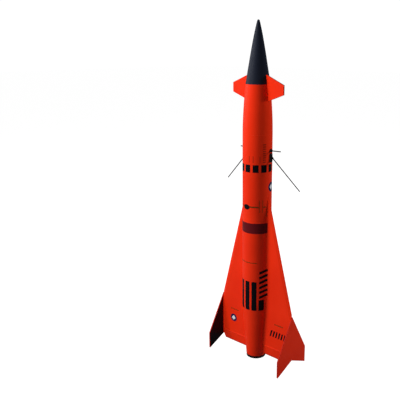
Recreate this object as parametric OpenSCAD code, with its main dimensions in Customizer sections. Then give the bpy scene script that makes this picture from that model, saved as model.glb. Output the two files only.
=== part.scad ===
// Sport-scale model rocket of a supersonic target drone, standing on its fin tips.
// Units are millimetres. +Z runs along the rocket towards the nose, X runs along the
// wings, and +Y is the side that carries the launch lugs. Z = 0 is the ground.

/* [Body] */
// Outside diameter of the body tubes
body_d = 58.3; // [50:0.1:66]
// Wall thickness of the paper body tubes
tube_wall = 1; // [0.5:0.1:2]
// Height where the boat-tail meets the straight tube
boat_top_z = 123; // [100:1:140]
// Height of the boat-tail's lower edge
boat_low_z = 5.8; // [5.5:0.1:12]
// Outside diameter of the boat-tail at its lower edge
boat_low_d = 40.9; // [38:0.1:50]
// Wall thickness of the boat-tail shroud
boat_wall = 1.4; // [1:0.1:3]
// Height of the glued seam between the two body tubes
seam_z = 402.2; // [380:0.1:430]
// Height of the upper tube's open end
tube_top_z = 474.1; // [450:0.1:490]
// Gap seen between the tube's end and the nose
parting_gap = 0.1; // [0.1:0.1:1]

/* [Nose] */
// Overall height of the rocket
total_h = 685; // [600:1:720]
// Height of the black tip's lower edge
tip_base_z = 568; // [550:1:590]
// Diameter at the black tip's lower edge
tip_base_d = 47.1; // [40:0.1:54]
// Exponent of the tip's curve, where 1 would be a straight cone
tip_power = 0.78; // [0.5:0.01:1]
// Radius of the rounded point
tip_round_r = 2.5; // [1:0.1:5]
// Exponent of the orange forebody's curve
forebody_power = 1.8; // [1:0.1:3]
// Wall thickness of the moulded nose pieces
nose_wall = 1.6; // [1:0.1:3]
// Length of nose shoulder inside the upper tube
shoulder_l = 40; // [25:1:60]
// Radial play of the nose shoulder in the tube
shoulder_play = 0.08; // [0.02:0.01:0.1]

/* [Canards] */
// Distance of the canard tips from the body's axis
canard_tip_x = 62.8; // [50:0.1:80]
// Height where the canard's leading edge would reach the root line
canard_root_lead_z = 586.6; // [570:0.1:600]
// Height of the canard tip's leading corner
canard_tip_lead_z = 568.6; // [550:0.1:590]
// Height of the canard tip's trailing corner
canard_tip_trail_z = 550.4; // [530:0.1:570]
// Height where the canard's trailing edge would reach the root line
canard_root_trail_z = 534.8; // [510:0.1:550]
// Canard thickness
canard_t = 2.6; // [1.6:0.1:4]

/* [Wings] */
// Distance of the wing's leading edge from the axis at its upper end
wing_apex_x = 25; // [20:0.1:29]
// Height of the wing's leading edge at that distance
wing_apex_z = 370.2; // [340:0.1:390]
// Height where the wing's leading edge meets the tip fin
wing_tip_lead_z = 115; // [100:0.1:130]
// Height of the wing's trailing edge
wing_trail_z = 9.9; // [7:0.1:25]
// Width of the cut corner where the trailing edge meets the tip fin
wing_corner_w = 4.6; // [1:0.1:12]
// Wing thickness
wing_t = 4.8; // [3:0.1:8]
// Width of the bevelled strip along the trailing edge
trail_bevel_w = 20.5; // [8:0.5:30]
// Width of the bevel along the leading edge
lead_bevel_w = 6; // [2:0.5:12]
// Thickness left at the bevelled edges
edge_t = 1.4; // [0.8:0.1:3]

/* [Tip fins] */
// Distance from the axis to the middle of the tip fin's thickness
fin_mid_x = 93.9; // [80:0.1:110]
// Tip fin thickness
fin_t = 2.6; // [1.6:0.1:4]
// Half height of the tip fin, measured away from the wing
fin_half_y = 45.6; // [30:0.1:60]
// Height of the tip fin's upper point
fin_apex_z = 116; // [100:0.1:130]
// Height of the corner where the leading edge ends
fin_corner_z = 35; // [20:0.1:50]
// Height of the notch in the trailing edge
fin_notch_z = 20; // [10:0.1:35]
// Width of the small flat foot under each fin point
fin_foot_w = 1.5; // [0.5:0.1:6]

/* [Motor mount] */
// Inside diameter of the motor tube, for a 29 mm motor
motor_bore_d = 29.5; // [29:0.1:30]
// Wall thickness of the motor tube
motor_tube_wall = 0.7; // [0.5:0.1:1.5]
// Height of the motor tube's lower end
motor_tube_low_z = 5; // [4:0.1:8]
// Height of the motor tube's upper end
motor_tube_top_z = 152; // [120:1:170]
// Thickness of the centring rings
ring_t = 3; // [2:0.1:6]
// Height of the retaining ring's lower face
retainer_low_z = 0.3; // [0.2:0.1:3]
// Outside diameter of the retaining ring's grip
retainer_d = 40.2; // [38:0.1:42]
// Radial play of the retaining ring on its collar
retainer_play = 0.07; // [0.02:0.01:0.1]

/* [Launch lugs] */
// Bore of the launch lugs, for a 6.35 mm launch rod
lug_bore_d = 6.8; // [6.5:0.1:8]
// Outside diameter of the launch lugs
lug_d = 8.4; // [8:0.1:10]
// Length of each launch lug
lug_l = 45; // [30:1:60]
// Height of the aft lug's lower end
lug_aft_z = 132; // [125:1:200]
// Height of the forward lug's lower end
lug_fore_z = 345; // [250:1:400]

/* [Antennas] */
// Diameter of the antenna wires
wire_d = 2; // [1:0.1:3]
// Bearing of the antennas, turned from the wing's line towards the lug side
antenna_bearing = 9.3; // [0:0.1:30]
// Height where the long antenna leaves the body
long_base_z = 432.5; // [400:0.5:450]
// Distance of the long antenna's end from the axis
long_end_r = 94.3; // [60:0.1:95]
// Height of the long antenna's end
long_end_z = 370.5; // [340:0.5:420]
// Height of the short antenna
short_z = 442.8; // [430:0.1:460]
// Distance of the short antenna's end from the axis
short_end_r = 51.3; // [40:0.1:70]
// Height that the antenna bosses stand proud of the tube
boss_proud = 3; // [1.5:0.1:4]

/* [Hidden] */
$fn = 96;
eps = 0.01;
through = 1;
body_r = body_d / 2;
tube_in_r = body_r - tube_wall;
boat_low_r = boat_low_d / 2;
boat_slope = (body_r - boat_low_r) / (boat_top_z - boat_low_z);
spigot_l = 12;
spigot_wall = 1.2;

nose_base_z = tube_top_z + parting_gap;
tip_base_r = tip_base_d / 2;
tip_steps = 26;
tip_round_steps = 6;
// Angle of the tip's wall to the axis where it meets the rounded point.
tip_round_angle = 13;
forebody_steps = 10;
tip_solid_l = 16;
tip_spigot_l = 7;
tip_spigot_wall = 1.6;
shoulder_r = tube_in_r - shoulder_play;
shoulder_wall = 1.8;
shoulder_low_z = tube_top_z - shoulder_l;
shoulder_spigot_l = 8;
base_plate_t = 2.4;

canard_root_x = 20;

motor_tube_in_r = motor_bore_d / 2;
motor_tube_r = motor_tube_in_r + motor_tube_wall;
tab_x = motor_tube_r + 0.15;
tab_low_z = 30;
tab_top_z = 108;
wing_slope = (wing_apex_z - wing_tip_lead_z) / (fin_mid_x - wing_apex_x);
wing_tip_x = fin_mid_x - fin_t / 2;
bead_r = 1.1;
bead_bury = 0.5;
bevel_gap = 0.15;

ring_front_z = 144;
ring_mid_z = 126;
ring_rear_z = 10.4;
collar_r = motor_tube_r + 1.9;
collar_top_z = ring_rear_z;
collar_low_z = 2.6;
thrust_seat_r = motor_tube_r + 0.65;
retainer_bore_r = collar_r + retainer_play;
retainer_lip_t = 1.4;
retainer_hole_r = motor_tube_in_r + 0.35;
grip_top_z = 5.4;
skirt_r = 18.7;
skirt_top_z = 9.4;
grip_count = 30;
grip_slot_w = 1.3;
grip_slot_depth = 0.5;

lug_gap = 0.5;
lug_r = lug_d / 2;
lug_y = body_r + lug_gap + lug_r;
lug_foot_w = 5;

coupler_l = 56;
coupler_wall = 1;
coupler_in_r = tube_in_r - coupler_wall;
baffle_t = 2.5;
baffle_low_z = 322;
baffle_top_z = 338;
baffle_hole_r = 4.2;
baffle_hole_ring_r = 17;
baffle_post_r = 2;
baffle_post_ring_r = 9;

eye_wire_r = 1.1;
eye_ring_r = 4.6;
washer_r = 15;
washer_t = 1.6;
washer_count = 5;
nut_r = 4.6;
nut_t = 2.6;

boss_round_r = 3.3;
boss_slot_w = 6.4;
boss_slot_low_z = 420;
boss_slot_top_z = 438.4;
sleeve_base_d = 4.6;
sleeve_end_d = 3.4;
sleeve_l = 7;
wire_bury = 1;
long_root_r = body_r + wire_bury;
long_reach = long_end_r - long_root_r;
long_drop = long_base_z - long_end_z;

orange = [0.93, 0.16, 0.07];
nose_black = [0.06, 0.08, 0.11];
kraft = [0.62, 0.48, 0.33];
ply = [0.78, 0.64, 0.44];
black = [0.04, 0.04, 0.045];
steel = [0.6, 0.6, 0.62];
wire_grey = [0.25, 0.26, 0.27];

// Outer radius of the boat-tail at height z.
function boat_r(z) = boat_low_r + (z - boat_low_z) * boat_slope;

// Outer radius of the orange forebody at height z.
function forebody_r(z) =
    body_r - (body_r - tip_base_r)
    * pow((z - nose_base_z) / (tip_base_z - nose_base_z), forebody_power);

// Height where the tip's long curve meets the rounded point.
tip_round_z = total_h - tip_round_r * (1 - sin(tip_round_angle));

// Distance above the rounded point at which the long curve would close, found so that
// the curve has the rounded point's radius where they meet.
tip_ratio = pow(tip_round_r * cos(tip_round_angle) / tip_base_r, 1 / tip_power);
tip_over =
    (tip_ratio * (total_h - tip_base_z) - (total_h - tip_round_z)) / (1 - tip_ratio);

// Outer radius of the black tip at height z.
function tip_r(z) =
    tip_base_r
    * pow((total_h + tip_over - z) / (total_h + tip_over - tip_base_z), tip_power);

// Heights of the tip's profile points, packed more closely towards the point.
function tip_z(i) =
    tip_round_z - (tip_round_z - tip_base_z) * pow(1 - i / tip_steps, 1.5);

// Points of the rounded point's arc, from its lower end to the top.
function tip_arc(i) =
    let (turn = tip_round_angle + (90 - tip_round_angle) * i / tip_round_steps)
    [tip_round_r * cos(turn), total_h - tip_round_r * (1 - sin(turn))];

function forebody_z(i) =
    nose_base_z + (tip_base_z - nose_base_z) * i / forebody_steps;

// A plain ring about the rocket's axis.
module ring(r_out, r_in, low_z, h) {
    difference() {
        translate([0, 0, low_z]) cylinder(r = r_out, h = h);
        translate([0, 0, low_z - through]) cylinder(r = r_in, h = h + 2 * through);
    }
}

// Places children on both sides: side 1 is +X and side -1 is its mirror image.
module on_side(side) {
    if (side > 0) children();
    else mirror([1, 0, 0]) children();
}

// A flat plate in the wing plane, from outline points given as [x, z].
module wing_plane_plate(points, thickness) {
    translate([0, thickness / 2, 0])
        rotate([90, 0, 0])
            linear_extrude(height = thickness)
                polygon(points);
}

// A wedge that bevels one face of a plate along the edge from a to b, given as [x, z].
// The plate's material lies to the left of the direction from a to b.
module edge_wedge(a, b, width, plate_t, edge_thickness) {
    run = norm(b - a);
    turn = atan2(b[1] - a[1], b[0] - a[0]);
    depth = (plate_t - edge_thickness) / 2;
    over = 20;
    translate([a[0], 0, a[1]])
        rotate([0, -turn, 0])
            translate([-over, 0, 0])
                rotate([90, 0, 90])
                    linear_extrude(height = run + 2 * over)
                        polygon([
                            [-plate_t / 2, width],
                            [-edge_thickness / 2, 0],
                            [-edge_thickness / 2 + depth * over / width, -over],
                            [-plate_t / 2 - over, -over],
                            [-plate_t / 2 - over, width]
                        ]);
}

// Bevels both faces of a plate along one edge.
module edge_bevel(a, b, width, plate_t) {
    edge_wedge(a, b, width, plate_t, edge_t);
    mirror([0, 1, 0]) edge_wedge(a, b, width, plate_t, edge_t);
}

// ---- body ----

module upper_tube() {
    color(orange)
        ring(body_r, tube_in_r, seam_z, tube_top_z - seam_z);
}

module lower_tube() {
    color(orange)
        difference() {
            ring(body_r, tube_in_r, boat_top_z, seam_z - boat_top_z);
            on_side(1) wing_slot(seam_z);
            on_side(-1) wing_slot(seam_z);
        }
}

module tube_coupler() {
    color(kraft)
        ring(tube_in_r, coupler_in_r, seam_z - coupler_l / 2, coupler_l);
}

module tail_shroud() {
    color(orange)
        difference() {
            union() {
                translate([0, 0, boat_low_z])
                    cylinder(r1 = boat_low_r, r2 = body_r, h = boat_top_z - boat_low_z);
                translate([0, 0, boat_top_z - eps])
                    cylinder(r = tube_in_r, h = spigot_l + eps);
            }
            translate([0, 0, boat_low_z - through])
                cylinder(
                    r1 = boat_r(boat_low_z - through) - boat_wall,
                    r2 = boat_r(boat_top_z) - boat_wall,
                    h = boat_top_z - boat_low_z + through + eps
                );
            translate([0, 0, boat_top_z - through])
                cylinder(r = tube_in_r - spigot_wall, h = spigot_l + 2 * through);
            on_side(1) wing_slot(boat_top_z);
            on_side(-1) wing_slot(boat_top_z);
        }
}

// ---- wings and tip fins ----

wing_outline = [
    [tab_x, tab_low_z],
    [boat_r(tab_low_z) - boat_wall, tab_low_z],
    [boat_r(wing_trail_z) - boat_wall, wing_trail_z],
    [wing_tip_x - wing_corner_w, wing_trail_z],
    [wing_tip_x, fin_notch_z],
    [wing_tip_x, wing_apex_z - (wing_tip_x - wing_apex_x) * wing_slope],
    [tube_in_r, wing_apex_z - (tube_in_r - wing_apex_x) * wing_slope],
    [tube_in_r, boat_top_z],
    [boat_r(tab_top_z) - boat_wall, tab_top_z],
    [tab_x, tab_top_z]
];

// The body's outside grown by extra, which keeps the bevels out of the wing's slot.
module body_outside(extra) {
    translate([0, 0, boat_low_z])
        cylinder(r1 = boat_low_r + extra, r2 = body_r + extra, h = boat_top_z - boat_low_z);
    translate([0, 0, boat_top_z - eps])
        cylinder(r = body_r + extra, h = tube_top_z - boat_top_z);
}

// The wing's sheet before its edges are bevelled.
module wing_blank() {
    wing_plane_plate(wing_outline, wing_t);
}

// The slot for the wing in the body's wall, up to top_z.
module wing_slot(top_z) {
    slot_low_x = motor_tube_r + 1.5;
    slot_top_x = tube_in_r - 2;
    intersection() {
        wing_plane_plate([
            [slot_low_x, wing_trail_z],
            wing_outline[2],
            wing_outline[3],
            wing_outline[4],
            wing_outline[5],
            [slot_top_x, wing_apex_z - (slot_top_x - wing_apex_x) * wing_slope]
        ], wing_t);
        translate([0, -wing_t, -through]) cube([wing_tip_x + through, 2 * wing_t, top_z + through]);
    }
}

// The raised bead along the line where the trailing strip's bevel begins.
module strip_bead() {
    line_z = wing_trail_z + trail_bevel_w;
    start_x = boat_r(line_z) + bevel_gap;
    for (face = [-1, 1])
        translate([start_x, face * (wing_t / 2 - bead_bury), line_z])
            rotate([0, 90, 0]) cylinder(r = bead_r, h = wing_tip_x - start_x);
}

module wing() {
    color(orange) {
        strip_bead();
        difference() {
            wing_blank();
            difference() {
                union() {
                    edge_bevel(wing_outline[5], wing_outline[6], lead_bevel_w, wing_t);
                    edge_bevel(wing_outline[2], wing_outline[3], trail_bevel_w, wing_t);
                }
                body_outside(bevel_gap);
            }
        }
    }
}

module wing_left() { on_side(-1) wing(); }

module wing_right() { on_side(1) wing(); }

module tip_fin() {
    color(orange)
        translate([fin_mid_x - fin_t / 2, 0, 0])
            rotate([90, 0, 90])
                linear_extrude(height = fin_t)
                    polygon([
                        [0, fin_apex_z],
                        [-fin_half_y, fin_corner_z],
                        [-fin_half_y, 0],
                        [-fin_half_y + fin_foot_w, 0],
                        [0, fin_notch_z],
                        [fin_half_y - fin_foot_w, 0],
                        [fin_half_y, 0],
                        [fin_half_y, fin_corner_z]
                    ]);
}

module tip_fin_left() { on_side(-1) tip_fin(); }

module tip_fin_right() { on_side(1) tip_fin(); }

// ---- motor mount ----

module motor_tube() {
    color(kraft)
        ring(motor_tube_r, motor_tube_in_r, motor_tube_low_z, motor_tube_top_z - motor_tube_low_z);
}

module ring_front() {
    color(ply) ring(tube_in_r, motor_tube_r, ring_front_z, ring_t);
}

module ring_mid() {
    color(ply) ring(tube_in_r - spigot_wall, motor_tube_r, ring_mid_z, ring_t);
}

module ring_rear() {
    color(ply)
        difference() {
            translate([0, 0, ring_rear_z])
                cylinder(
                    r1 = boat_r(ring_rear_z) - boat_wall,
                    r2 = boat_r(ring_rear_z + ring_t) - boat_wall,
                    h = ring_t
                );
            translate([0, 0, ring_rear_z - through])
                cylinder(r = motor_tube_r, h = ring_t + 2 * through);
        }
}

// The collar glued on the motor tube's end, with a seat below the tube for a thrust ring.
module retainer_collar() {
    color(black)
        difference() {
            translate([0, 0, collar_low_z])
                cylinder(r = collar_r, h = collar_top_z - collar_low_z);
            translate([0, 0, motor_tube_low_z - eps])
                cylinder(r = motor_tube_r, h = collar_top_z);
            translate([0, 0, collar_low_z - through])
                cylinder(r = thrust_seat_r, h = motor_tube_low_z - collar_low_z + through);
        }
}

// The knurled ring that screws onto the collar and keeps a motor in.
module retainer_ring() {
    color(black)
        difference() {
            union() {
                translate([0, 0, retainer_low_z])
                    cylinder(r = retainer_d / 2, h = grip_top_z - retainer_low_z);
                translate([0, 0, retainer_low_z])
                    cylinder(r = skirt_r, h = skirt_top_z - retainer_low_z);
            }
            translate([0, 0, retainer_low_z + retainer_lip_t])
                cylinder(r = retainer_bore_r, h = skirt_top_z);
            translate([0, 0, retainer_low_z - through])
                cylinder(r = retainer_hole_r, h = skirt_top_z);
            for (i = [0:grip_count - 1])
                rotate([0, 0, i * 360 / grip_count])
                    translate([retainer_d / 2 - grip_slot_depth, -grip_slot_w / 2, retainer_low_z - through])
                        cube([grip_slot_depth + through, grip_slot_w, grip_top_z - retainer_low_z]);
        }
}

// ---- recovery bay ----

module baffle_plate(low_z, turn) {
    color(ply)
        difference() {
            translate([0, 0, low_z]) cylinder(r = tube_in_r, h = baffle_t);
            for (i = [0:5])
                rotate([0, 0, turn + i * 60])
                    translate([baffle_hole_ring_r, 0, low_z - through])
                        cylinder(r = baffle_hole_r, h = baffle_t + 2 * through);
        }
}

module baffle_low() { baffle_plate(baffle_low_z, 0); }

module baffle_top() {
    difference() {
        baffle_plate(baffle_top_z, 30);
        translate([0, 0, baffle_top_z - through])
            cylinder(r = eye_wire_r, h = baffle_t + 2 * through);
    }
}

module baffle_posts() {
    color(ply)
        for (side = [-1, 1])
            translate([side * baffle_post_ring_r, 0, baffle_low_z + baffle_t])
                cylinder(r = baffle_post_r, h = baffle_top_z - baffle_low_z - baffle_t);
}

// A screw eye: a ring on a shank that runs from shank_low to shank_high.
module screw_eye(ring_z, shank_low, shank_high) {
    color(steel)
        union() {
            translate([0, 0, ring_z])
                rotate([90, 0, 0])
                    rotate_extrude()
                        translate([eye_ring_r, 0])
                            circle(r = eye_wire_r);
            translate([0, 0, shank_low])
                cylinder(r = eye_wire_r, h = shank_high - shank_low);
        }
}

module hex_nut(low_z) {
    color(steel)
        difference() {
            translate([0, 0, low_z]) cylinder(r = nut_r, h = nut_t, $fn = 6);
            translate([0, 0, low_z - through]) cylinder(r = eye_wire_r, h = nut_t + 2 * through);
        }
}

module anchor_eye() {
    ring_z = baffle_top_z + baffle_t + eye_ring_r + eye_wire_r + 0.5;
    screw_eye(ring_z, baffle_top_z - nut_t - 0.6, ring_z - eye_ring_r);
}

module anchor_nut() { hex_nut(baffle_top_z - nut_t); }

// ---- launch lugs ----

module lug(low_z) {
    color(orange)
        difference() {
            union() {
                translate([0, lug_y, low_z]) cylinder(r = lug_r, h = lug_l);
                translate([-lug_foot_w / 2, body_r - tube_wall, low_z])
                    cube([lug_foot_w, lug_y - body_r + tube_wall, lug_l]);
            }
            translate([0, lug_y, low_z - through])
                cylinder(r = lug_bore_d / 2, h = lug_l + 2 * through);
            translate([0, 0, low_z - through])
                cylinder(r = body_r, h = lug_l + 2 * through);
        }
}

module lug_fore() { lug(lug_fore_z); }

module lug_aft() { lug(lug_aft_z); }

// ---- antennas ----

// Turns children so that their +X points along the antennas' bearing.
module on_bearing() {
    rotate([0, 0, antenna_bearing]) children();
}

module boss_round() {
    color(black)
        on_bearing()
            difference() {
                translate([tube_in_r, 0, short_z])
                    rotate([0, 90, 0]) cylinder(r = boss_round_r, h = tube_wall + boss_proud);
                translate([0, 0, short_z - 10]) cylinder(r = body_r, h = 20);
                short_wire();
            }
}

// The slot-shaped boss has a tapered sleeve round the root of the long wire.
module boss_slot() {
    half_w = boss_slot_w / 2;
    straight = boss_slot_top_z - boss_slot_low_z - boss_slot_w;
    color(black)
        on_bearing()
            difference() {
                union() {
                    for (z = [boss_slot_low_z + half_w, boss_slot_top_z - half_w])
                        translate([tube_in_r, 0, z])
                            rotate([0, 90, 0]) cylinder(r = half_w, h = tube_wall + boss_proud);
                    translate([tube_in_r, -half_w, boss_slot_low_z + half_w])
                        cube([tube_wall + boss_proud, boss_slot_w, straight]);
                    along_long_wire() cylinder(d1 = sleeve_base_d, d2 = sleeve_end_d, h = sleeve_l);
                }
                translate([0, 0, boss_slot_low_z - through])
                    cylinder(r = body_r, h = boss_slot_top_z - boss_slot_low_z + 2 * through);
                long_wire();
            }
}

// The short wire runs straight out; the tube wall hides its first part.
module short_wire() {
    start_r = body_r + wire_bury;
    translate([start_r, 0, short_z])
        rotate([0, 90, 0]) cylinder(d = wire_d, h = short_end_r - start_r);
}

// Turns children so that their +Z points down the long wire from its root.
module along_long_wire() {
    translate([long_root_r, 0, long_base_z])
        rotate([0, 90 + atan2(long_drop, long_reach), 0]) children();
}

// The long wire slopes down from its boss towards the wing.
module long_wire() {
    along_long_wire() cylinder(d = wire_d, h = norm([long_reach, long_drop]));
}

module boss_round_left() { on_side(-1) boss_round(); }

module boss_round_right() { on_side(1) boss_round(); }

module boss_slot_left() { on_side(-1) boss_slot(); }

module boss_slot_right() { on_side(1) boss_slot(); }

module antenna_long_left() { on_side(-1) color(wire_grey) on_bearing() long_wire(); }

module antenna_long_right() { on_side(1) color(wire_grey) on_bearing() long_wire(); }

module antenna_short_left() { on_side(-1) color(wire_grey) on_bearing() short_wire(); }

module antenna_short_right() { on_side(1) color(wire_grey) on_bearing() short_wire(); }

// ---- nose ----

module nose_tip() {
    hollow_top = total_h - tip_solid_l;
    color(nose_black)
        difference() {
            union() {
                rotate_extrude()
                    polygon(concat(
                        [[0, tip_base_z]],
                        [for (i = [0:tip_steps]) [tip_r(tip_z(i)), tip_z(i)]],
                        [for (i = [1:tip_round_steps - 1]) tip_arc(i)],
                        [[0, total_h]]
                    ));
                translate([0, 0, tip_base_z - tip_spigot_l])
                    cylinder(r = tip_base_r - nose_wall, h = tip_spigot_l + through);
            }
            translate([0, 0, tip_base_z - tip_spigot_l - through])
                cylinder(r = tip_base_r - nose_wall - tip_spigot_wall, h = tip_spigot_l + through + 0.5);
            rotate_extrude()
                polygon(concat(
                    [[0, tip_base_z], [tip_base_r - nose_wall - tip_spigot_wall, tip_base_z]],
                    [for (i = [2:2:tip_steps - 8])
                        if (tip_z(i) < hollow_top) [tip_r(tip_z(i)) - 2 * nose_wall, tip_z(i)]],
                    [[0, hollow_top - 20]]
                ));
            on_side(1) canard();
            on_side(-1) canard();
        }
}

module nose_forebody() {
    color(orange)
        difference() {
            rotate_extrude()
                polygon(concat(
                    [for (i = [0:forebody_steps]) [forebody_r(forebody_z(i)), forebody_z(i)]],
                    [for (i = [forebody_steps:-1:0]) [forebody_r(forebody_z(i)) - nose_wall, forebody_z(i)]]
                ));
            on_side(1) canard();
            on_side(-1) canard();
        }
}

module nose_shoulder() {
    color(orange)
        difference() {
            union() {
                translate([0, 0, shoulder_low_z])
                    cylinder(r = shoulder_r, h = nose_base_z - shoulder_low_z);
                translate([0, 0, nose_base_z - eps])
                    cylinder(r = body_r - nose_wall - 0.25, h = shoulder_spigot_l + eps);
            }
            translate([0, 0, shoulder_low_z + base_plate_t])
                cylinder(r = shoulder_r - shoulder_wall, h = total_h);
            translate([0, 0, shoulder_low_z - through])
                cylinder(r = eye_wire_r, h = base_plate_t + 2 * through);
        }
}

module nose_eye() {
    ring_z = shoulder_low_z - eye_ring_r - eye_wire_r - 0.5;
    stack_top = shoulder_low_z + base_plate_t + washer_count * washer_t + nut_t + 1;
    screw_eye(ring_z, ring_z + eye_ring_r, stack_top);
}

module nose_nut() {
    hex_nut(shoulder_low_z + base_plate_t + washer_count * washer_t);
}

// A stack of steel washers that keeps the rocket's balance point forward.
module nose_weight() {
    color(steel)
        ring(washer_r, eye_wire_r, shoulder_low_z + base_plate_t, washer_count * washer_t);
}

// One canard, which runs through a slot in the nose wall.
module canard() {
    color(orange)
        wing_plane_plate([
            [canard_root_x, canard_root_trail_z],
            [canard_tip_x, canard_tip_trail_z],
            [canard_tip_x, canard_tip_lead_z],
            [canard_root_x, canard_root_lead_z]
        ], canard_t);
}

module canard_left() { on_side(-1) canard(); }

module canard_right() { on_side(1) canard(); }

upper_tube();
lower_tube();
tube_coupler();
tail_shroud();
wing_left();
wing_right();
tip_fin_left();
tip_fin_right();
motor_tube();
ring_front();
ring_mid();
ring_rear();
retainer_collar();
baffle_low();
baffle_top();
baffle_posts();
anchor_eye();
anchor_nut();
lug_fore();
lug_aft();
boss_round_left();
boss_round_right();
boss_slot_left();
boss_slot_right();
antenna_long_left();
antenna_long_right();
antenna_short_left();
antenna_short_right();
nose_tip();
nose_forebody();
nose_shoulder();
nose_eye();
nose_nut();
nose_weight();
canard_left();
canard_right();
retainer_ring();
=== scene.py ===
import math

import bmesh
import bpy
from mathutils import Matrix, Vector


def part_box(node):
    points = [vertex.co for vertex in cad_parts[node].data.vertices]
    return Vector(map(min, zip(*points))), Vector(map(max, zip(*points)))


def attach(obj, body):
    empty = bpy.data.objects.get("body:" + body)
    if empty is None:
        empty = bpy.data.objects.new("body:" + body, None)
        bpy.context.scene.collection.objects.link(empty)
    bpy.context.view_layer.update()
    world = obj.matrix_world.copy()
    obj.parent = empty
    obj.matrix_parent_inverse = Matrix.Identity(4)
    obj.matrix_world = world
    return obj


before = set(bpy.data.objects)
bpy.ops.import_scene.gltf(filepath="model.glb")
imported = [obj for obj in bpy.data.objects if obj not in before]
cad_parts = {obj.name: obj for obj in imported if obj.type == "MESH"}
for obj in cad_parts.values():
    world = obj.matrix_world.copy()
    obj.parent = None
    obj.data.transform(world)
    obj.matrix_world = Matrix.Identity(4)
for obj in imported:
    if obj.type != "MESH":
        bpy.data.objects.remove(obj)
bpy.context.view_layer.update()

# Shapes are worked out in millimetres and meshes are made in metres.
MM = 0.001


# ---- sizes read from the frame ----

def box_mm(node):
    low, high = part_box(node)
    return low / MM, high / MM


def corners_mm(node):
    """The corners of a CAD node's mesh, in millimetres."""
    return [v.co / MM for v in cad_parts[node].data.vertices]


def rim_radius(node, z):
    """Distance from the axis of a node's outermost corner near height z."""
    reach = 0.2
    return max(math.hypot(p.x, p.y) for p in corners_mm(node) if abs(p.z - z) < reach)


BODY_R = box_mm("upper_tube")[1].x
SEAM_Z = box_mm("upper_tube")[0].z
BOAT_TOP_Z = box_mm("lower_tube")[0].z
BOAT_LOW_Z = box_mm("tail_shroud")[0].z
BOAT_LOW_R = rim_radius("tail_shroud", BOAT_LOW_Z)
WING_LOW_Z = box_mm("wing_right")[0].z
WING_OUT_X = box_mm("wing_right")[1].x
WING_HALF_T = max(p.y for p in corners_mm("wing_right") if p.z > WING_LOW_Z + 50)
FIN_IN_X = box_mm("tip_fin_right")[0].x
NOSE_BASE_Z = box_mm("nose_forebody")[0].z
TIP_BASE_Z = box_mm("nose_forebody")[1].z
TIP_BASE_R = rim_radius("nose_forebody", TIP_BASE_Z)

# The wing's leading edge runs from its top corner to the corner beside the tip fin.
LEAD_TOP = max(corners_mm("wing_right"), key=lambda p: p.z)
LEAD_OUT = max((p for p in corners_mm("wing_right") if p.x > WING_OUT_X - 0.1), key=lambda p: p.z)
EDGE_HALF_T = abs(LEAD_OUT.y)

# These are sizes of the CAD that no box or single corner gives.
FIN_NOTCH_Z = 20.0
LUG_FOOT_HALF_W = 2.5
FOREBODY_POWER = 1.8
LEAD_BEVEL_W = 6.0
TRAIL_BEVEL_W = 20.5


def body_radius(z):
    """Radius of the painted body at height z, below the nose."""
    if z >= BOAT_TOP_Z:
        return BODY_R
    return BOAT_LOW_R + (BODY_R - BOAT_LOW_R) * (z - BOAT_LOW_Z) / (BOAT_TOP_Z - BOAT_LOW_Z)


def wing_half_thickness(x, z):
    """Half the wing's thickness at a point, which falls off across both bevelled edges."""
    along = Vector((LEAD_OUT.x - LEAD_TOP.x, LEAD_OUT.z - LEAD_TOP.z)).normalized()
    from_lead = (x - LEAD_TOP.x) * along.y - (z - LEAD_TOP.z) * along.x
    share = min(1.0, abs(from_lead) / LEAD_BEVEL_W, (z - WING_LOW_Z) / TRAIL_BEVEL_W)
    return EDGE_HALF_T + (WING_HALF_T - EDGE_HALF_T) * share


def nose_radius(z):
    """Outer radius of the orange forebody at height z."""
    share = (z - NOSE_BASE_Z) / (TIP_BASE_Z - NOSE_BASE_Z)
    return BODY_R - (BODY_R - TIP_BASE_R) * share ** FOREBODY_POWER


# ---- camera ----

def make_camera():
    """The camera stands in front of the rocket, to its right, and looks slightly down.

    Yaw is from +Y towards +X, and pitch is downwards.
    """
    data = bpy.data.cameras.new("camera")
    data.sensor_width = 36.0
    data.lens = 53.33
    data.shift_x = -0.1425
    camera = bpy.data.objects.new("camera", data)
    camera.location = (0.7396, -0.8682, 0.6438)
    yaw = math.radians(-40.441)
    pitch = math.radians(14.891)
    roll = math.radians(-0.430)
    ahead = Vector((math.sin(yaw), math.cos(yaw), 0.0))
    forward = ahead * math.cos(pitch) - Vector((0.0, 0.0, math.sin(pitch)))
    level = Vector((math.cos(yaw), -math.sin(yaw), 0.0))
    right = level * math.cos(roll) + forward.cross(level) * math.sin(roll)
    up = right.cross(forward)
    camera.rotation_mode = "QUATERNION"
    camera.rotation_quaternion = Matrix((right, up, -forward)).transposed().to_quaternion()
    bpy.context.scene.collection.objects.link(camera)
    bpy.context.scene.camera = camera


make_camera()


# ---- studio ----

def softbox(name, bearing, distance, height, size, power, aim_z, shadow=True, sheen=True, wash=True):
    """A square soft light. Bearing is in degrees from -Y towards +X, the rest in metres and watts.

    Without shadow it reaches round the parts in its way, without sheen it leaves no highlight,
    and without wash it leaves nothing but the highlight. Its aim is a height on the body's axis.
    """
    light = bpy.data.lights.new(name, "AREA")
    light.shape = "SQUARE"
    light.size = size
    light.energy = power
    light.use_shadow = shadow
    holder = bpy.data.objects.new(name, light)
    turn = math.radians(bearing)
    holder.location = (distance * math.sin(turn), -distance * math.cos(turn), height)
    aim = Vector((0.0, 0.0, aim_z)) - holder.location
    holder.rotation_euler = aim.to_track_quat("-Z", "Y").to_euler()
    holder.visible_glossy = sheen
    holder.visible_diffuse = wash
    bpy.context.scene.collection.objects.link(holder)


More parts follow.
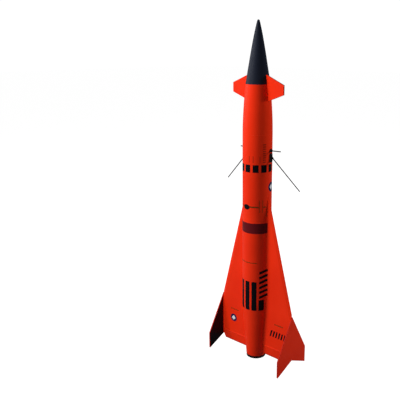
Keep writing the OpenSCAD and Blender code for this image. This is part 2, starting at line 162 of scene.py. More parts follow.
def make_world(ambient, backdrop):
    """Even grey light all round, with a white backdrop where the camera sees past the floor."""
    world = bpy.data.worlds.new("studio")
    world.use_nodes = True
    tree = world.node_tree
    background = tree.nodes["Background"]
    background.inputs["Color"].default_value = (1.0, 1.0, 1.0, 1.0)
    path = tree.nodes.new("ShaderNodeLightPath")
    strength = tree.nodes.new("ShaderNodeMapRange")
    strength.inputs["To Min"].default_value = ambient
    strength.inputs["To Max"].default_value = backdrop
    tree.links.new(path.outputs["Is Camera Ray"], strength.inputs["Value"])
    tree.links.new(strength.outputs["Result"], background.inputs["Strength"])
    bpy.context.scene.world = world


make_world(ambient=0.15, backdrop=1.05)

# The key stands in one place as two lights: one with highlights and shadows, one with neither.
key_place = {"bearing": -34, "distance": 1.5, "height": 1.45, "size": 0.6, "aim_z": 0.45}
softbox("key", power=15, **key_place)
softbox("key_fill", power=27, shadow=False, sheen=False, **key_place)
softbox("side", bearing=-72, distance=1.4, height=0.90, size=1.2, power=8, aim_z=0.45, wash=False)
softbox("rim", bearing=132, distance=1.6, height=0.85, size=0.4, power=13, aim_z=0.40, sheen=False)
softbox("back", bearing=205, distance=1.6, height=1.20, size=0.6, power=22, aim_z=0.45, sheen=False)
bpy.context.scene.view_settings.view_transform = "Standard"
bpy.context.scene.view_settings.look = "None"


# ---- material building ----

def add(tree, kind, inputs=None, **settings):
    """A new node, with settings on the node and values or links on its inputs."""
    node = tree.nodes.new(kind)
    for key, value in settings.items():
        setattr(node, key, value)
    for key, value in (inputs or {}).items():
        if isinstance(value, bpy.types.NodeSocket):
            tree.links.new(value, node.inputs[key])
        else:
            node.inputs[key].default_value = value
    return node


def calc(tree, operation, first, second=0.5):
    return add(tree, "ShaderNodeMath", {0: first, 1: second}, operation=operation).outputs[0]


def place(tree):
    """The surface point in metres, in the object's own frame."""
    return add(tree, "ShaderNodeTexCoord").outputs["Object"]


def split(tree, vector):
    return add(tree, "ShaderNodeSeparateXYZ", {"Vector": vector}).outputs


def from_axis(tree, x, y):
    """The distance from the body's axis."""
    squares = calc(tree, "ADD", calc(tree, "MULTIPLY", x, x), calc(tree, "MULTIPLY", y, y))
    return calc(tree, "SQRT", squares)


def facing_share(tree, axis):
    """1 where the surface faces along an axis, either way, and 0 where it lies along it."""
    normal = add(tree, "ShaderNodeNewGeometry").outputs["Normal"]
    return calc(tree, "ABSOLUTE", split(tree, normal)[axis])


def stretched(tree, vector, scale):
    return add(tree, "ShaderNodeMapping", {"Vector": vector, "Scale": scale}).outputs["Vector"]


def noise(tree, vector, scale, detail=2.0, roughness=0.5):
    """Smooth noise from 0 to 1; scale is in features per metre."""
    inputs = {"Vector": vector, "Scale": scale, "Detail": detail, "Roughness": roughness}
    return add(tree, "ShaderNodeTexNoise", inputs).outputs["Fac"]


def spread(tree, value, low, high, to_low=0.0, to_high=1.0):
    """Value from low..high stretched to to_low..to_high, and held at the ends."""
    inputs = {"Value": value, "From Min": low, "From Max": high, "To Min": to_low, "To Max": to_high}
    return add(tree, "ShaderNodeMapRange", inputs).outputs["Result"]


def mixed(tree, share, first, second):
    """Colour first where share is 0 and second where it is 1."""
    node = add(tree, "ShaderNodeMix", {"Factor": share}, data_type="RGBA")
    for index, colour in ((6, first), (7, second)):
        if isinstance(colour, bpy.types.NodeSocket):
            tree.links.new(colour, node.inputs[index])
        else:
            node.inputs[index].default_value = (*colour, 1.0)
    return node.outputs[2]


def bumped(tree, height, distance, under=None):
    """A normal from a height of 0 to 1, where 1 stands distance metres high."""
    inputs = {"Height": height, "Distance": distance, "Strength": 1.0}
    if under is not None:
        inputs["Normal"] = under
    return add(tree, "ShaderNodeBump", inputs).outputs["Normal"]


def new_material(name):
    material = bpy.data.materials.new(name)
    material.use_nodes = True
    return material, material.node_tree, material.node_tree.nodes["Principled BSDF"]


def finish_surface(tree, surface, colour, roughness, normal=None, **constants):
    """Joins the shader's colour, roughness and normal, and sets constants on its own sockets."""
    for socket, value in (("Base Color", colour), ("Roughness", roughness), ("Normal", normal)):
        if isinstance(value, bpy.types.NodeSocket):
            tree.links.new(value, surface.inputs[socket])
        elif value is not None:
            surface.inputs[socket].default_value = value
    for key, value in constants.items():
        surface.inputs[key.replace("_", " ")].default_value = value


# ---- colours ----

ORANGE = (0.88, 0.030, 0.005)
ORANGE_DEEP = (0.80, 0.024, 0.004)
# Painted shade for the tip fins' inner faces: dark red at the top, a painted reflection of the wing,
# and blue-black lower down.
FIN_SHADE_TOP = (0.045, 0.002, 0.002)
FIN_SHADE_LOW = (0.002, 0.005, 0.010)
RUBBED_WOOD = (0.55, 0.20, 0.09)
# Painted shade for the cut edges of the fins and canards; the brown also shades a band above the
# wings' trailing edges.
EDGE_SHADE_RED = (0.52, 0.016, 0.007)
SHADE_BROWN = (0.20, 0.014, 0.007)
KRAFT_DARK = (0.30, 0.19, 0.10)
KRAFT_PALE = (0.46, 0.31, 0.17)
KRAFT_FLECK = (0.20, 0.12, 0.06)
KRAFT_JOINT = (0.16, 0.09, 0.04)
PLY_DARK = (0.46, 0.29, 0.13)
PLY_PALE = (0.68, 0.49, 0.27)
PLY_BURNT_DARK = (0.07, 0.035, 0.015)
PLY_BURNT_PALE = (0.20, 0.11, 0.05)
SOOT = (0.10, 0.05, 0.02)
ZINC_DARK = (0.46, 0.47, 0.49)
ZINC_PALE = (0.62, 0.63, 0.64)
WIRE_DARK = (0.006, 0.006, 0.007)
WIRE_PALE = (0.020, 0.021, 0.023)
FLOOR_DARK = (0.17, 0.17, 0.17)
FLOOR_PALE = (0.18, 0.18, 0.18)


# ---- paper tubes ----

def from_ply_joint(tree, point, pitch):
    """Distance from the spiral joint between plies, as a share of its pitch, given in metres."""
    x, y, z = split(tree, point)
    turn = calc(tree, "DIVIDE", calc(tree, "ARCTAN2", y, x), 2 * math.pi)
    along = calc(tree, "FRACT", calc(tree, "ADD", calc(tree, "DIVIDE", z, pitch), turn))
    return calc(tree, "ABSOLUTE", calc(tree, "SUBTRACT", along, 0.5))


def paper_fibres(tree, point):
    """Fibres that run round the tube."""
    return noise(tree, stretched(tree, point, (500.0, 500.0, 2600.0)), 1.0, 4.0, 0.7)


def kraft_paper():
    """Spiral-wound kraft paper: overlapping plies, long fibres and flecks."""
    material, tree, surface = new_material("kraft_paper")
    point = place(tree)
    joint = spread(tree, from_ply_joint(tree, point, 0.060), 0.0, 0.012)
    fibres = paper_fibres(tree, point)
    flecks = spread(tree, noise(tree, point, 1100.0, 2.0), 0.62, 0.74)
    colour = mixed(tree, fibres, KRAFT_DARK, KRAFT_PALE)
    colour = mixed(tree, flecks, colour, KRAFT_FLECK)
    colour = mixed(tree, joint, KRAFT_JOINT, colour)
    normal = bumped(tree, fibres, 0.00006)
    normal = bumped(tree, joint, 0.00012, normal)
    finish_surface(tree, surface, colour, spread(tree, fibres, 0.2, 0.8, 0.70, 0.90), normal)
    return material


# ---- paints ----

def paint_base(tree, point):
    """The sprayed colour with its slow drift, and the orange-peel height."""
    drift = spread(tree, noise(tree, point, 14.0, 3.0), 0.35, 0.70)
    colour = mixed(tree, drift, ORANGE, ORANGE_DEEP)
    peel = noise(tree, point, 520.0, 1.0)
    return colour, peel


def finish_paint(tree, surface, colour, point, normal):
    """Satin spray paint: the sheen drifts a little, and the pigment's own colour is strong."""
    rough = spread(tree, noise(tree, point, 60.0, 4.0, 0.6), 0.3, 0.7, 0.36, 0.48)
    finish_surface(tree, surface, colour, rough, normal, Specular_IOR_Level=0.10)


def tube_paint():
    """Paint over a filled spiral-wound tube, whose joint still shows as a shallow groove.

    Inside, the tube is bare paper.
    """
    material, tree, surface = new_material("tube_paint")
    point = place(tree)
    colour, peel = paint_base(tree, point)
    x, y, _ = split(tree, point)
    groove = spread(tree, from_ply_joint(tree, point, 0.105), 0.0, 0.007)
    paper = mixed(tree, paper_fibres(tree, point), KRAFT_DARK, KRAFT_PALE)
    bare = spread(tree, from_axis(tree, x, y), (BODY_R - 0.7) * MM, (BODY_R - 0.5) * MM, 1.0, 0.0)
    colour = mixed(tree, bare, colour, paper)
    normal = bumped(tree, peel, 0.00004)
    normal = bumped(tree, groove, 0.00010, normal)
    finish_paint(tree, surface, colour, point, normal)
    return material


def plastic_paint():
    """The same paint over moulded plastic, with the two mould lines sanded nearly flat."""
    material, tree, surface = new_material("plastic_paint")
    point = place(tree)
    colour, peel = paint_base(tree, point)
    from_mould_line = calc(tree, "ABSOLUTE", split(tree, point)[0])
    line = spread(tree, from_mould_line, 0.0, 0.0004, 1.0, 0.0)
    normal = bumped(tree, peel, 0.00003)
    normal = bumped(tree, line, 0.00004, normal)
    finish_paint(tree, surface, colour, point, normal)
    return material


def wood_paint(name, edge=None, shade_within=None, shade_above_z=None):
    """Paint over sealed plywood, whose grain shows faintly.

    Edge gives painted shade to the cut edges, as (thickness axis, colour). Where the reach of
    painted shade from the body's axis is given as well, the flat faces nearer the axis than that
    get painted shade, near black with a dark red painted reflection of the wing at the top, and
    the feet are rubbed down to the wood. Just above the trailing height, if given, a band of
    painted shade darkens the paint.
    """
    material, tree, surface = new_material(name)
    point = place(tree)
    colour, peel = paint_base(tree, point)
    grain = noise(tree, stretched(tree, point, (900.0, 900.0, 45.0)), 1.0, 4.0, 0.6)
    x, _, z = split(tree, point)
    # Painted shade: the cut edges get a darker colour that stands in for their shade.
    if edge is not None:
        axis, edge_shade_colour = edge
        flatness = facing_share(tree, axis)
        edge_shade = spread(tree, flatness, 0.80, 0.96, 1.0, 0.0)
        colour = mixed(tree, edge_shade, colour, edge_shade_colour)
    # Painted shade: the tip fins' flat inner faces are painted near black for the shade of the wing
    # and body, dark red towards the top as a painted reflection of the wing.
    if shade_within is not None:
        dark = mixed(tree, spread(tree, z, 0.02, 0.11), FIN_SHADE_LOW, FIN_SHADE_TOP)
        inside = spread(tree, calc(tree, "ABSOLUTE", x), shade_within, shade_within + 0.0002, 1.0, 0.0)
        inside = calc(tree, "MULTIPLY", inside, spread(tree, flatness, 0.970, 0.995))
        colour = mixed(tree, inside, colour, dark)
        rubbed_height = spread(tree, z, 0.0004, 0.0022, 1.0, 0.0)
        patches = spread(tree, noise(tree, point, 900.0, 3.0), 0.40, 0.60)
        rubbed = calc(tree, "MULTIPLY", rubbed_height, patches)
        colour = mixed(tree, rubbed, colour, RUBBED_WOOD)
    # Painted shade: a darker band just above the wing's trailing edge.
    if shade_above_z is not None:
        trailing_shade = spread(tree, z, shade_above_z + 0.0008, shade_above_z + 0.0026, 0.6, 0.0)
        colour = mixed(tree, trailing_shade, colour, SHADE_BROWN)
    normal = bumped(tree, peel, 0.00003)
    normal = bumped(tree, grain, 0.00003, normal)
    finish_paint(tree, surface, colour, point, normal)
    return material


def satin_black(name, colour, speck, roughness, peel_scale, peel_height, specular):
    """Dark paint or moulded plastic with a fine texture and a little dust in it."""
    material, tree, surface = new_material(name)
    point = place(tree)
    peel = noise(tree, point, peel_scale, 2.0)
    dust = spread(tree, noise(tree, point, 1400.0, 2.0), 0.68, 0.84)
    tone = mixed(tree, dust, colour, speck)
    rough = spread(tree, noise(tree, point, 45.0, 4.0), 0.3, 0.7, roughness - 0.05, roughness + 0.06)
    normal = bumped(tree, peel, peel_height)
    finish_surface(tree, surface, tone, rough, normal, Specular_IOR_Level=specular)
    return material


# ---- bare materials ----

def bare_plywood():
    """Laser-cut plywood: grain on the faces, thin plies at the edges, browned by the cut."""
    material, tree, surface = new_material("bare_plywood")
    point = place(tree)
    x, y, z = split(tree, point)
    grain = noise(tree, stretched(tree, point, (60.0, 900.0, 900.0)), 1.0, 5.0, 0.65)
    plies = calc(tree, "PINGPONG", calc(tree, "MULTIPLY", z, 1000.0), 0.5)
    colour = mixed(tree, grain, PLY_DARK, PLY_PALE)
    edge = spread(tree, facing_share(tree, 2), 0.5, 0.8, 1.0, 0.0)
    burnt = mixed(tree, spread(tree, plies, 0.15, 0.35), PLY_BURNT_DARK, PLY_BURNT_PALE)
    colour = mixed(tree, edge, colour, burnt)
    soot = spread(tree, from_axis(tree, x, y), 0.0145, 0.0165, 0.5, 0.0)
    colour = mixed(tree, soot, colour, SOOT)
    rough = spread(tree, grain, 0.2, 0.8, 0.55, 0.75)
    finish_surface(tree, surface, colour, rough, bumped(tree, grain, 0.00008))
    return material


def plated_steel():
    """Zinc-plated steel with a faint spangle and handling marks."""
    material, tree, surface = new_material("plated_steel")
    point = place(tree)
    spangle = add(tree, "ShaderNodeTexVoronoi", {"Vector": point, "Scale": 700.0}).outputs["Color"]
    tone = mixed(tree, split(tree, spangle)[0], ZINC_DARK, ZINC_PALE)
    scratches = noise(tree, stretched(tree, point, (3000.0, 200.0, 200.0)), 1.0, 3.0)
    rough = spread(tree, scratches, 0.3, 0.7, 0.26, 0.44)
    finish_surface(tree, surface, tone, rough, bumped(tree, scratches, 0.00002), Metallic=1.0)
    return material


def drawn_wire():
    """Blackened drawn wire with fine lines along it."""
    material, tree, surface = new_material("drawn_wire")
    point = place(tree)
    lines = noise(tree, stretched(tree, point, (500.0, 4000.0, 4000.0)), 1.0, 2.0)
    tone = mixed(tree, lines, WIRE_DARK, WIRE_PALE)
    rough = spread(tree, lines, 0.3, 0.7, 0.42, 0.56)
    normal = bumped(tree, lines, 0.00003)
    finish_surface(tree, surface, tone, rough, normal, Specular_IOR_Level=0.16)
    return material


def film_ink(name, colour, worn):
    """Printed waterslide film: one ink with thin spots, and a film that lies a little unevenly."""
    material, tree, surface = new_material(name)
    point = place(tree)
    thin = spread(tree, noise(tree, point, 420.0, 5.0, 0.7), 0.58, 0.86)
    tone = mixed(tree, thin, colour, worn)
    ripple = noise(tree, point, 240.0, 2.0)
    rough = spread(tree, noise(tree, point, 90.0, 3.0), 0.3, 0.7, 0.29, 0.41)
    finish_surface(tree, surface, tone, rough, bumped(tree, ripple, 0.00005), Specular_IOR_Level=0.06)
    return material


def studio_white():
    """A white floor that looks evenly lit as far as it goes, and throws back only what falls on it."""
    material, tree, surface = new_material("studio_white")
    grain = noise(tree, place(tree), 30.0, 2.0)
    tone = mixed(tree, grain, FLOOR_DARK, FLOOR_PALE)
    path = add(tree, "ShaderNodeLightPath")
    finish_surface(tree, surface, tone, 0.9, Emission_Color=(1.0, 1.0, 1.0, 1.0))
    fill = spread(tree, path.outputs["Is Camera Ray"], 0.0, 1.0, 0.0, 0.96)
    tree.links.new(fill, surface.inputs["Emission Strength"])
    return material


TUBE_PAINT = tube_paint()
PLASTIC_PAINT = plastic_paint()
# The wing paint carries painted shade above its trailing edge; the fin and canard paints carry painted
# shade on their edges, and the fin paint on its inner faces.
WING_PAINT = wood_paint("wing_paint", shade_above_z=WING_LOW_Z * MM)
FIN_PAINT = wood_paint("fin_paint", edge=(0, EDGE_SHADE_RED), shade_within=(FIN_IN_X + 0.1) * MM)
CANARD_PAINT = wood_paint("canard_paint", edge=(1, SHADE_BROWN))
NOSE_BLACK = satin_black(
    "nose_black",
    colour=(0.009, 0.012, 0.023),
    speck=(0.016, 0.020, 0.036),
    roughness=0.52,
    peel_scale=700.0,
    peel_height=0.00001,
    specular=0.17,
)
MOULDED_BLACK = satin_black(
    "moulded_black",
    colour=(0.007, 0.007, 0.008),
    speck=(0.02, 0.02, 0.02),
    roughness=0.50,
    peel_scale=1800.0,
    peel_height=0.00004,
    specular=0.12,
)
KRAFT = kraft_paper()
PLYWOOD = bare_plywood()
STEEL = plated_steel()
WIRE = drawn_wire()
INK_BLACK = film_ink("ink_black", (0.004, 0.004, 0.006), (0.03, 0.010, 0.010))
INK_MAROON = film_ink("ink_maroon", (0.115, 0.007, 0.010), (0.16, 0.010, 0.010))
INK_LINE = film_ink("ink_line", (0.15, 0.035, 0.006), (0.28, 0.03, 0.006))
INK_FAINT = film_ink("ink_faint", (0.42, 0.020, 0.006), (0.55, 0.022, 0.006))
INK_NAVY = film_ink("ink_navy", (0.010, 0.012, 0.060), (0.03, 0.03, 0.09))
INK_WHITE = film_ink("ink_white", (0.72, 0.74, 0.78), (0.62, 0.58, 0.60))

SLOT_MATERIALS = {
    "painted_tube": TUBE_PAINT,
    "painted_plastic": PLASTIC_PAINT,
    "painted_wood": WING_PAINT,
    "nose_black": NOSE_BLACK,
    "black_plastic": MOULDED_BLACK,
    "kraft_tube": KRAFT,
    "plywood": PLYWOOD,
    "steel": STEEL,
    "antenna_wire": WIRE,
}


def dress_cad_nodes():
    """Gives each CAD node the finish of its material slot."""
    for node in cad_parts.values():
        slot = node.data.materials[0].name
        node.data.materials.clear()
        node.data.materials.append(SLOT_MATERIALS[slot])
    for side in ("left", "right"):
        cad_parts["tip_fin_" + side].data.materials[0] = FIN_PAINT
        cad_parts["canard_" + side].data.materials[0] = CANARD_PAINT


dress_cad_nodes()


def soften_edges(names, width):
    """Rounds the sharp edges of CAD nodes with modifiers, width in millimetres."""
    for name in names:
        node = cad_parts[name]
        weld = node.modifiers.new("weld", "WELD")
        weld.merge_threshold = 0.000002
        bevel = node.modifiers.new("softened_edges", "BEVEL")
        bevel.width = width * MM
        bevel.segments = 3
        bevel.limit_method = "ANGLE"
        bevel.angle_limit = math.radians(40.0)
        bevel.harden_normals = True


soften_edges(("wing_left", "wing_right"), 0.35)
soften_edges(("tip_fin_left", "tip_fin_right"), 0.45)
soften_edges(("canard_left", "canard_right"), 0.40)
soften_edges(("lug_fore", "lug_aft"), 0.30)
soften_edges(("retainer_ring",), 0.25)


# ---- pieces ----

def finish_piece(shape, name, material, body="airframe"):
    """A piece from a bmesh in millimetres, which rides on a body."""
    bmesh.ops.recalc_face_normals(shape, faces=shape.faces)
    for edge in shape.edges:
        edge.smooth = all(face.smooth for face in edge.link_faces)
    bmesh.ops.scale(shape, vec=(MM, MM, MM), verts=shape.verts)
    mesh = bpy.data.meshes.new(name)
    shape.to_mesh(mesh)
    shape.free()
    mesh.materials.append(material)
    piece = bpy.data.objects.new(name, mesh)
    bpy.context.scene.collection.objects.link(piece)
    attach(piece, body)


# ---- glue fillets ----

FILLET_STEPS = 7
FILLET_BURY = 0.5
FILLET_LIFT = 0.03


def hollow(first, corner, second, t):
    """A point on the hollow curve from first to second, pulled in towards the corner."""
    return first * (1 - t) ** 2 + corner * 2 * t * (1 - t) + second * t ** 2


def fillet_ring(first, corner, second, z):
    """One section of a fillet: the hollow curve between two surfaces, then its buried back."""
    inward = corner - (first + second) / 2
    inward.normalize()
    ring = []
    for i in range(FILLET_STEPS):
        ring.append(hollow(first, corner, second, i / (FILLET_STEPS - 1)) - inward * FILLET_LIFT)
    ring += [p + inward * FILLET_BURY for p in (second, corner, first)]
    return [Vector((p.x, p.y, z)) for p in ring]


def fillet_strip(shape, sections):
    """A closed strip of filler through sections of (first, corner, second, z)."""
    rings = [[shape.verts.new(p) for p in fillet_ring(*section)] for section in sections]
    count = len(rings[0])
    for low, high in zip(rings, rings[1:]):
        for i in range(count):
            j = (i + 1) % count
            face = shape.faces.new((low[i], low[j], high[j], high[i]))
            face.smooth = i < FILLET_STEPS - 1
    shape.faces.new(rings[0])
    shape.faces.new(rings[-1])


def between(low, high, count):
    """Count heights from low to high, both included."""
    return [low + (high - low) * i / (count - 1) for i in range(count)]


def root_section(side, face, z, leg, radius, half_t):
    """A fillet's section where a plate in the wing plane leaves the round body."""
    corner_x = math.sqrt(radius ** 2 - half_t ** 2)
    corner_turn = math.acos(half_t / radius)
    turn = corner_turn - leg / radius
    on_plate = Vector((side * (corner_x + leg), face * half_t))
    corner = Vector((side * corner_x, face * half_t))
    on_round = Vector((side * radius * math.sin(turn), face * radius * math.cos(turn)))
    return on_plate, corner, on_round, z


WING_FILLET_LEG = 6.5
WING_FILLET_TOP_Z = LEAD_TOP.z - 6.0


def wing_root_section(side, face, z):
    """The wing root fillet's section, feathered out towards the wing's apex."""
    feathered_over = 45.0
    share_at_top = 0.12
    taper = min(1.0, (WING_FILLET_TOP_Z - z) / feathered_over + share_at_top)
    leg = WING_FILLET_LEG * taper
    radius = body_radius(z)
    return root_section(side, face, z, leg, radius, wing_half_thickness(radius + leg, z))


def wing_root_fillets():
    """Filler along both faces of each wing root."""
    shape = bmesh.new()
    for side in (-1, 1):
        for face in (-1, 1):
            heights = between(WING_LOW_Z + 0.2, WING_FILLET_TOP_Z, 60)
            fillet_strip(shape, [wing_root_section(side, face, z) for z in heights])
    finish_piece(shape, "wing_root_fillets", WING_PAINT)


def tip_fin_fillets():
    """A thin bead of filler where each wing meets its tip fin."""
    shape = bmesh.new()
    leg = 1.3
    for side in (-1, 1):
        for face in (-1, 1):
            sections = []
            for z in between(FIN_NOTCH_Z + 0.6, LEAD_OUT.z - 5.0, 24):
                half_t = wing_half_thickness(WING_OUT_X - leg, z)
                on_wing_face = Vector((side * (WING_OUT_X - leg), face * half_t))
                corner = Vector((side * WING_OUT_X, face * half_t))
                on_fin = Vector((side * WING_OUT_X, face * (half_t + leg)))
                sections.append((on_wing_face, corner, on_fin, z))
            fillet_strip(shape, sections)
    finish_piece(shape, "tip_fin_fillets", WING_PAINT)


def lug_fillets():
    """Filler along both sides of each launch lug's foot, and a little past its ends."""
    shape = bmesh.new()
    leg = 1.1
    past_end = 0.4
    corner_y = math.sqrt(BODY_R ** 2 - LUG_FOOT_HALF_W ** 2)
    turn = math.asin(LUG_FOOT_HALF_W / BODY_R) + leg / BODY_R
    for node in ("lug_fore", "lug_aft"):
        low, high = box_mm(node)
        heights = between(low.z - past_end, high.z + past_end, 12)
        for side in (-1, 1):
            on_foot = Vector((side * LUG_FOOT_HALF_W, corner_y + leg * 0.8))
            corner = Vector((side * LUG_FOOT_HALF_W, corner_y))
            on_tube = Vector((side * BODY_R * math.sin(turn), BODY_R * math.cos(turn)))
            fillet_strip(shape, [(on_foot, corner, on_tube, z) for z in heights])
    finish_piece(shape, "lug_fillets", WING_PAINT)


def canard_fillets():
    """A thin bead of filler round each canard's root."""
    shape = bmesh.new()
    leg = 0.9
    low, high = box_mm("canard_right")
    for side in (-1, 1):
        for face in (-1, 1):
            sections = []
            for z in between(low.z + 4.5, TIP_BASE_Z - 0.4, 18):
                sections.append(root_section(side, face, z, leg, nose_radius(z), high.y))
            fillet_strip(shape, sections)
    finish_piece(shape, "canard_fillets", WING_PAINT, "nose")


wing_root_fillets()
tip_fin_fillets()
lug_fillets()
canard_fillets()


# ---- printed film marks ----

FILM_T = 0.10
FILM_SUNK = 0.05


def skin_radius(turn, z):
    """Distance of the painted surface from the axis, on the body or on a wing root fillet."""
    radius = body_radius(z)
    if z > WING_FILLET_TOP_Z:
        return radius
    first, corner, second, z = wing_root_section(1, 1, z)
    fold = math.atan2(abs(math.sin(turn)), abs(math.cos(turn)))
    if fold < math.atan2(second.x, second.y):
        return radius
    low, high = 0.0, 1.0
    halvings = 20
    for _ in range(halvings):
        middle = (low + high) / 2
        point = hollow(first, corner, second, middle)
        if math.atan2(point.x, point.y) > fold:
            low = middle
        else:
            high = middle
    return point.length


def on_body(bearing):
    """Places film on the body: u runs round it in millimetres from a bearing, v is the height."""
    def at(u, v, lift):
        turn = math.radians(bearing) + u / BODY_R
        r = skin_radius(turn, v) + lift
        return Vector((r * math.sin(turn), -r * math.cos(turn), v))
    return at


def on_wing(face):
    """Places film on a wing: u is x, v is the height, and face is -1 for -Y or 1 for +Y."""
    def at(u, v, lift):
        return Vector((u, face * (WING_HALF_T + lift), v))
    return at


def oblong(width, low, high, lean=0.0, rise=0.0, middle=0.0):
    """A rectangle. Lean slants its upright sides and rise its level ones, in millimetres."""
    def shape(s, t):
        u = middle + width * s / 2 + lean * t / 2
        v = low + (high - low) * (t + 1) / 2 + rise * s / 2
        return u, v
    return shape


def disc(u0, v0, radius, stretch=1.0):
    """A disc or, with a stretch, an oval, drawn as a square grid so that its mesh is all quads."""
    def shape(s, t):
        u = radius * stretch * s * math.sqrt(1 - t * t / 2)
        v = radius * t * math.sqrt(1 - s * s / 2)
        return u0 + u, v0 + v
    return shape


def diamond(u0, v0, radius):
    """A square standing on its corner."""
    def shape(s, t):
        return u0 + radius * (s - t) / 2, v0 + radius * (s + t) / 2
    return shape


def film(shape, at, outline, steps_u, steps_v, layer=0):
    """A closed patch of thin film: the outline's grid laid on a surface by at(u, v, lift)."""
    def sheet(lift):
        rows = []
        for j in range(steps_v + 1):
            t = 2 * j / steps_v - 1
            points = [at(*outline(2 * i / steps_u - 1, t), lift) for i in range(steps_u + 1)]
            rows.append([shape.verts.new(p) for p in points])
        return rows

    top = sheet(FILM_T * (1 + layer))
    under = sheet(FILM_T * layer - FILM_SUNK)
    for rows in (top, under):
        for low, high in zip(rows, rows[1:]):
            for i in range(steps_u):
                face = shape.faces.new((low[i], low[i + 1], high[i + 1], high[i]))
                face.smooth = rows is top
    rim = [(0, i) for i in range(steps_u)]
    rim += [(j, steps_u) for j in range(steps_v)]
    rim += [(steps_v, i) for i in range(steps_u, 0, -1)]
    rim += [(j, 0) for j in range(steps_v, 0, -1)]
    for (j0, i0), (j1, i1) in zip(rim, rim[1:] + rim[:1]):
        shape.faces.new((top[j0][i0], top[j1][i1], under[j1][i1], under[j0][i0]))


def body_film(shape, bearing, half_angle, low, high, rise=0.0):
    """A patch of film round the body, cut at the boat-tail's edge so that it follows both."""
    width = 2 * math.radians(half_angle) * BODY_R
    step_w = 1.3
    across = max(2, math.ceil(width / step_w))
    if low < BOAT_TOP_Z < high:
        film(shape, on_body(bearing), oblong(width, low, BOAT_TOP_Z), across, 2)
        low = BOAT_TOP_Z
    film(shape, on_body(bearing), oblong(width, low, high, rise=rise), across, 1)


def ring_of_squares():
    """Eleven black squares round the upper tube, just above the tube joint."""
    shape = bmesh.new()
    count = 11
    first_bearing = 1.0
    half_angle = 11.3
    for k in range(count):
        bearing = first_bearing + 360.0 * k / count
        body_film(shape, bearing, half_angle, SEAM_Z - 0.4, SEAM_Z + 14.6)
    finish_piece(shape, "mark_squares", INK_BLACK)


def dark_band():
    """The dark band between the wing roots, on both faces of the body."""
    shape = bmesh.new()
    low, high = 278.6, 299.6
    gap = 1.0
    root = math.degrees(math.asin((WING_HALF_T + gap) / BODY_R))
    for bearing in (0.0, 180.0):
        body_film(shape, bearing, 90.0 - root, low, high)
    finish_piece(shape, "mark_band", INK_MAROON)


BLOCK_TOP_Z = 137.0


def tail_stripes():
    """Upright black stripes and a block beside them."""
    shape = bmesh.new()
    low, high = 113.6, 176.5
    half_angle = 10.3
    for bearing in (-30.0, 1.0, 30.5):
        body_film(shape, bearing, half_angle, low, high)
    body_film(shape, 61.0, 12.0, 113.5, BLOCK_TOP_Z)
    finish_piece(shape, "mark_stripes", INK_BLACK)


def slanted_body_bars():
    """A column of slanted bars above the block."""
    shape = bmesh.new()
    count = 6
    pitch = 10.6
    bar_h = 5.4
    first_low = BLOCK_TOP_Z + 5.5
    for k in range(count):
        low = first_low + k * pitch
        body_film(shape, 69.0, 18.0, low, low + bar_h, rise=5.0)
    finish_piece(shape, "mark_body_bars", INK_BLACK)


PANEL_LINE_Z = 333.0
BOAT_LINE_Z = 217.0


def front_oval():
    """A small black oval that closes the front panel line."""
    shape = bmesh.new()
    oval = disc(0.0, PANEL_LINE_Z - 1.0, radius=5.2, stretch=1.5)
    film(shape, on_body(-4.6), oval, 16, 14)
    finish_piece(shape, "mark_oval", INK_BLACK)


def level_line(shape, low_bearing, high_bearing, z, half_w=0.7):
    """A printed line round the body from one bearing to another."""
    middle = (low_bearing + high_bearing) / 2
    body_film(shape, middle, (high_bearing - low_bearing) / 2, z - half_w, z + half_w)


def panel_lines():
    """Thin printed panel lines round the body and down its side, and one upright line of painted shade
    beside the right wing's root.
    """
    shape = bmesh.new()
    level_line(shape, -84.0, -16.5, PANEL_LINE_Z)
    level_line(shape, 7.0, 46.0, PANEL_LINE_Z, 1.4)
    level_line(shape, 65.5, 76.0, PANEL_LINE_Z, 1.2)
    level_line(shape, -84.0, 41.0, BOAT_LINE_Z)
    upright_half_angle = math.degrees(0.5 / BODY_R)
    upright_lines_and_root_shade = (
        (49.0, 322.0, 347.0),
        (63.0, 322.0, 347.0),
        # Painted shade: this line stands for the shade in the crease at the right wing's root.
        (79.0, 313.0, 329.0),
    )
    for bearing, low, high in upright_lines_and_root_shade:
        body_film(shape, bearing, upright_half_angle, low, high)
    finish_piece(shape, "mark_panel_lines_and_root_shade", INK_LINE)


def service_ticks():
    """Faint upright ticks above the squares, and a column of short level dashes."""
    shape = bmesh.new()
    low = 421.0
    tick_top = 434.0
    for bearing in (8.0, 24.0, 50.0):
        body_film(shape, bearing, 1.5, low, tick_top)
    dash_count = 9
    dash_pitch = 4.2
    dash_h = 2.6
    for k in range(dash_count):
        dash_low = low + dash_pitch * k
        body_film(shape, 68.0, 6.5, dash_low, dash_low + dash_h)
    finish_piece(shape, "mark_ticks", INK_FAINT)


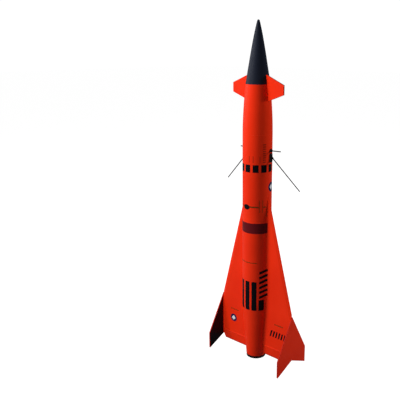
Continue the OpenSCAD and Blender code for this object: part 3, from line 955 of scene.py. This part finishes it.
def targets(name, material, add_part):
    """Plain round targets on both sides of the body and on one face of each wing."""
    shape = bmesh.new()
    for bearing in (-108.0, 108.0):
        add_part(shape, on_body(bearing), 0.0, 371.0, 9.8)
    for side in (-1, 1):
        add_part(shape, on_wing(side), side * 62.0, 66.0, 8.6)
    finish_piece(shape, name, material)


def target_disc(shape, at, u, v, radius):
    film(shape, at, disc(u, v, radius), 16, 16)


def target_centre(shape, at, u, v, radius):
    film(shape, at, diamond(u, v, radius * 0.64), 6, 6, layer=1)


def wing_bars():
    """Slanted bars on the front of the right wing and the back of the left one."""
    shape = bmesh.new()
    count = 6
    pitch = 7.0
    bar_w = 3.6
    low, high = 57.5, 71.5
    for side in (-1, 1):
        for k in range(count):
            middle = side * (42.5 + pitch * k)
            bar = oblong(bar_w, low, high, lean=side * bar_w, middle=middle)
            film(shape, on_wing(-side), bar, 2, 2)
    finish_piece(shape, "mark_wing_bars", INK_BLACK)


def wing_dashes():
    """A short dashed line over each wing's mark."""
    shape = bmesh.new()
    count = 5
    pitch = 4.6
    dash_w = 3.2
    low, high = 85.4, 87.8
    for face in (-1, 1):
        for first_middle in (-68.0, 53.0):
            for k in range(count):
                dash = oblong(dash_w, low, high, middle=first_middle + pitch * k)
                film(shape, on_wing(face), dash, 2, 1)
    finish_piece(shape, "mark_wing_dashes", INK_LINE)


ring_of_squares()
dark_band()
tail_stripes()
slanted_body_bars()
front_oval()
panel_lines()
service_ticks()
targets("mark_target_discs", INK_NAVY, target_disc)
targets("mark_target_centres", INK_WHITE, target_centre)
wing_bars()
wing_dashes()


# ---- floor ----

def make_floor():
    """A plain pale floor at the height of the rocket's feet."""
    reach = 12.0
    corners = [(-reach, -reach, 0.0), (reach, -reach, 0.0), (reach, reach, 0.0), (-reach, reach, 0.0)]
    mesh = bpy.data.meshes.new("floor")
    mesh.from_pydata(corners, [], [(0, 1, 2, 3)])
    mesh.materials.append(studio_white())
    floor = bpy.data.objects.new("floor", mesh)
    bpy.context.scene.collection.objects.link(floor)


make_floor()
